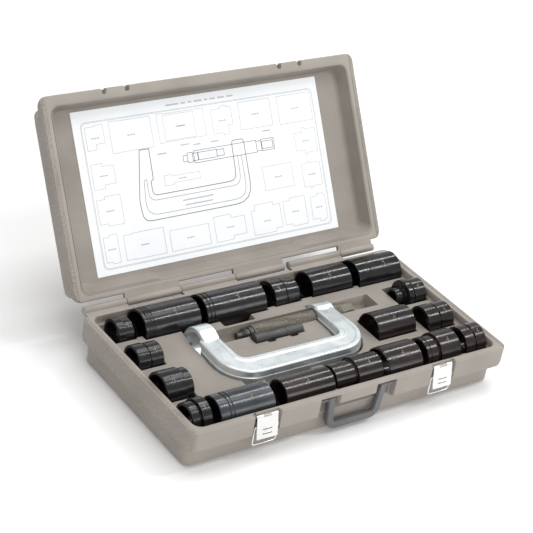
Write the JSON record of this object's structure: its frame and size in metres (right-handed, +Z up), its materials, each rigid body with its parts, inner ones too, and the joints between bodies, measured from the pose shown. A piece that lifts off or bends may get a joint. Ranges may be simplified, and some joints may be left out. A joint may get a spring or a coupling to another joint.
{
  "type": "ball joint press set",
  "caption": "Hinged carrying case with a C-frame screw press, a driver pin and stepped tubes and adapters for pressing ball joints out and in.",
  "frame": {"origin": "centre of the underside of the case base, on the surface it stands on", "axes": "+X along the case to the right, +Y towards the lid hinge, +Z up"},
  "size_m": [0.61, 0.5556, 0.3627],
  "materials": {
    "case_plastic": "fine pebble texture, warm grey",
    "tray_plastic": "smooth moulded, warm grey",
    "printed_card": "matt white with grey line drawings",
    "handle_plastic": "smooth mid grey",
    "plated_frame": "satin bright plating",
    "screw_steel": "oiled tan grey thread",
    "nose_steel": "dark machined steel",
    "pin_steel": "dark turned steel",
    "black_oxide_steel": "glossy black oxide",
    "blued_steel": "grey blue oxide",
    "bright_steel": "bright nickel plate"
  },
  "bodies": {
    "case_body": {"case_base": "case_plastic", "tool_tray": "tray_plastic", "hinge_pin_left": "bright_steel", "hinge_pin_right": "bright_steel", "latch_pin_left": "bright_steel", "latch_pin_right": "bright_steel"},
    "lid": {"lid_shell": "case_plastic", "lid_liner": "tray_plastic", "lid_panel": "tray_plastic", "layout_card": "printed_card"},
    "left_latch": {"latch_plate_left": "bright_steel"},
    "left_bail": {"latch_bail_left": "bright_steel"},
    "right_latch": {"latch_plate_right": "bright_steel"},
    "right_bail": {"latch_bail_right": "bright_steel"},
    "handle": {"carry_handle": "handle_plastic"},
    "press": {"c_frame": "plated_frame", "ring_set_screw": "black_oxide_steel"},
    "nose": {"thrust_ball": "bright_steel", "screw_nose": "nose_steel", "nose_retaining_ring": "bright_steel"},
    "screw": {"forcing_screw": "screw_steel"},
    "driver_pin": {"stepped_driver_pin": "pin_steel"},
    "cup_adapter_1_body": {"cup_adapter_1": "black_oxide_steel"},
    "receiving_tube_2_body": {"receiving_tube_2": "black_oxide_steel"},
    "receiving_tube_3_body": {"receiving_tube_3": "black_oxide_steel"},
    "installing_adapter_4_body": {"installing_adapter_4": "black_oxide_steel"},
    "receiving_tube_5_body": {"receiving_tube_5": "black_oxide_steel"},
    "receiving_tube_6_body": {"receiving_tube_6": "black_oxide_steel"},
    "cup_adapter_7_body": {"cup_adapter_7": "black_oxide_steel"},
    "cup_adapter_8_body": {"cup_adapter_8": "black_oxide_steel"},
    "installing_adapter_9_body": {"installing_adapter_9": "black_oxide_steel"},
    "receiving_tube_10_body": {"receiving_tube_10": "blued_steel"},
    "receiving_tube_11_body": {"receiving_tube_11": "black_oxide_steel"},
    "installing_adapter_12_body": {"installing_adapter_12": "black_oxide_steel"},
    "receiving_tube_13_body": {"receiving_tube_13": "black_oxide_steel"},
    "installing_adapter_14_body": {"installing_adapter_14": "black_oxide_steel"},
    "installing_adapter_15_body": {"installing_adapter_15": "black_oxide_steel"},
    "pilot_adapter_16_body": {"pilot_adapter_16": "black_oxide_steel"},
    "receiving_tube_17_body": {"receiving_tube_17": "black_oxide_steel"},
    "cup_adapter_18_body": {"cup_adapter_18": "black_oxide_steel"}
  },
  "joints": [
    {"name": "lid_hinge", "type": "hinge", "parent": "case_body", "child": "lid", "pos_m": [0, 0.175, 0.076], "axis": [-1, 0, 0], "range_deg": [-121.7, 0]},
    {"name": "left_latch_swing", "type": "hinge", "parent": "case_body", "child": "left_latch", "pos_m": [-0.17, -0.157, 0.07], "axis": [-1, 0, 0], "range_deg": [-6, 100]},
    {"name": "left_bail_swing", "type": "hinge", "parent": "left_latch", "child": "left_bail", "pos_m": [-0.17, -0.16005, 0.05429], "axis": [1, 0, 0], "range_deg": [-189, 3]},
    {"name": "right_latch_swing", "type": "hinge", "parent": "case_body", "child": "right_latch", "pos_m": [0.17, -0.157, 0.07], "axis": [-1, 0, 0], "range_deg": [-6, 100]},
    {"name": "right_bail_swing", "type": "hinge", "parent": "right_latch", "child": "right_bail", "pos_m": [0.17, -0.16005, 0.05429], "axis": [1, 0, 0], "range_deg": [-189, 3]},
    {"name": "handle_swing", "type": "hinge", "parent": "case_body", "child": "handle", "pos_m": [0, -0.1565, 0.066], "axis": [-1, 0, 0], "range_deg": [0, 100]},
    {"name": "press_lift", "type": "slide", "parent": "case_body", "child": "press", "axis": [0, 0, 1], "range_m": [0, 0.12]},
    {"name": "screw_feed", "type": "slide", "parent": "press", "child": "nose", "axis": [-1, 0, 0], "range_m": [-0.04, 0.038]},
    {"name": "screw_turn", "type": "hinge", "parent": "nose", "child": "screw", "pos_m": [0, 0.052, 0.054], "axis": [-1, 0, 0], "range_deg": [-7200, 6840]},
    {"name": "driver_pin_lift", "type": "slide", "parent": "case_body", "child": "driver_pin", "axis": [0, 0, 1], "range_m": [0, 0.06]},
    {"name": "cup_adapter_1_lift", "type": "slide", "parent": "case_body", "child": "cup_adapter_1_body", "axis": [0, 0, 1], "range_m": [0, 0.08]},
    {"name": "receiving_tube_2_lift", "type": "slide", "parent": "case_body", "child": "receiving_tube_2_body", "axis": [0, 0, 1], "range_m": [0, 0.08]},
    {"name": "receiving_tube_3_lift", "type": "slide", "parent": "case_body", "child": "receiving_tube_3_body", "axis": [0, 0, 1], "range_m": [0, 0.08]},
    {"name": "installing_adapter_4_lift", "type": "slide", "parent": "case_body", "child": "installing_adapter_4_body", "axis": [0, 0, 1], "range_m": [0, 0.08]},
    {"name": "receiving_tube_5_lift", "type": "slide", "parent": "case_body", "child": "receiving_tube_5_body", "axis": [0, 0, 1], "range_m": [0, 0.08]},
    {"name": "receiving_tube_6_lift", "type": "slide", "parent": "case_body", "child": "receiving_tube_6_body", "axis": [0, 0, 1], "range_m": [0, 0.08]},
    {"name": "cup_adapter_7_lift", "type": "slide", "parent": "case_body", "child": "cup_adapter_7_body", "axis": [0, 0, 1], "range_m": [0, 0.08]},
    {"name": "cup_adapter_8_lift", "type": "slide", "parent": "case_body", "child": "cup_adapter_8_body", "axis": [0, 0, 1], "range_m": [0, 0.08]},
    {"name": "installing_adapter_9_lift", "type": "slide", "parent": "case_body", "child": "installing_adapter_9_body", "axis": [0, 0, 1], "range_m": [0, 0.08]},
    {"name": "receiving_tube_10_lift", "type": "slide", "parent": "case_body", "child": "receiving_tube_10_body", "axis": [0, 0, 1], "range_m": [0, 0.08]},
    {"name": "receiving_tube_11_lift", "type": "slide", "parent": "case_body", "child": "receiving_tube_11_body", "axis": [0, 0, 1], "range_m": [0, 0.08]},
    {"name": "installing_adapter_12_lift", "type": "slide", "parent": "case_body", "child": "installing_adapter_12_body", "axis": [0, 0, 1], "range_m": [0, 0.08]},
    {"name": "receiving_tube_13_lift", "type": "slide", "parent": "case_body", "child": "receiving_tube_13_body", "axis": [0, 0, 1], "range_m": [0, 0.08]},
    {"name": "installing_adapter_14_lift", "type": "slide", "parent": "case_body", "child": "installing_adapter_14_body", "axis": [0, 0, 1], "range_m": [0, 0.08]},
    {"name": "installing_adapter_15_lift", "type": "slide", "parent": "case_body", "child": "installing_adapter_15_body", "axis": [0, 0, 1], "range_m": [0, 0.08]},
    {"name": "pilot_adapter_16_lift", "type": "slide", "parent": "case_body", "child": "pilot_adapter_16_body", "axis": [0, 0, 1], "range_m": [0, 0.08]},
    {"name": "receiving_tube_17_lift", "type": "slide", "parent": "case_body", "child": "receiving_tube_17_body", "axis": [0, 0, 1], "range_m": [0, 0.08]},
    {"name": "cup_adapter_18_lift", "type": "slide", "parent": "case_body", "child": "cup_adapter_18_body", "axis": [0, 0, 1], "range_m": [0, 0.08]}
  ],
  "couplings": [
    {"joint": "screw_feed", "follows": "screw_turn", "m_per_rad": 0.00031831}
  ]
}
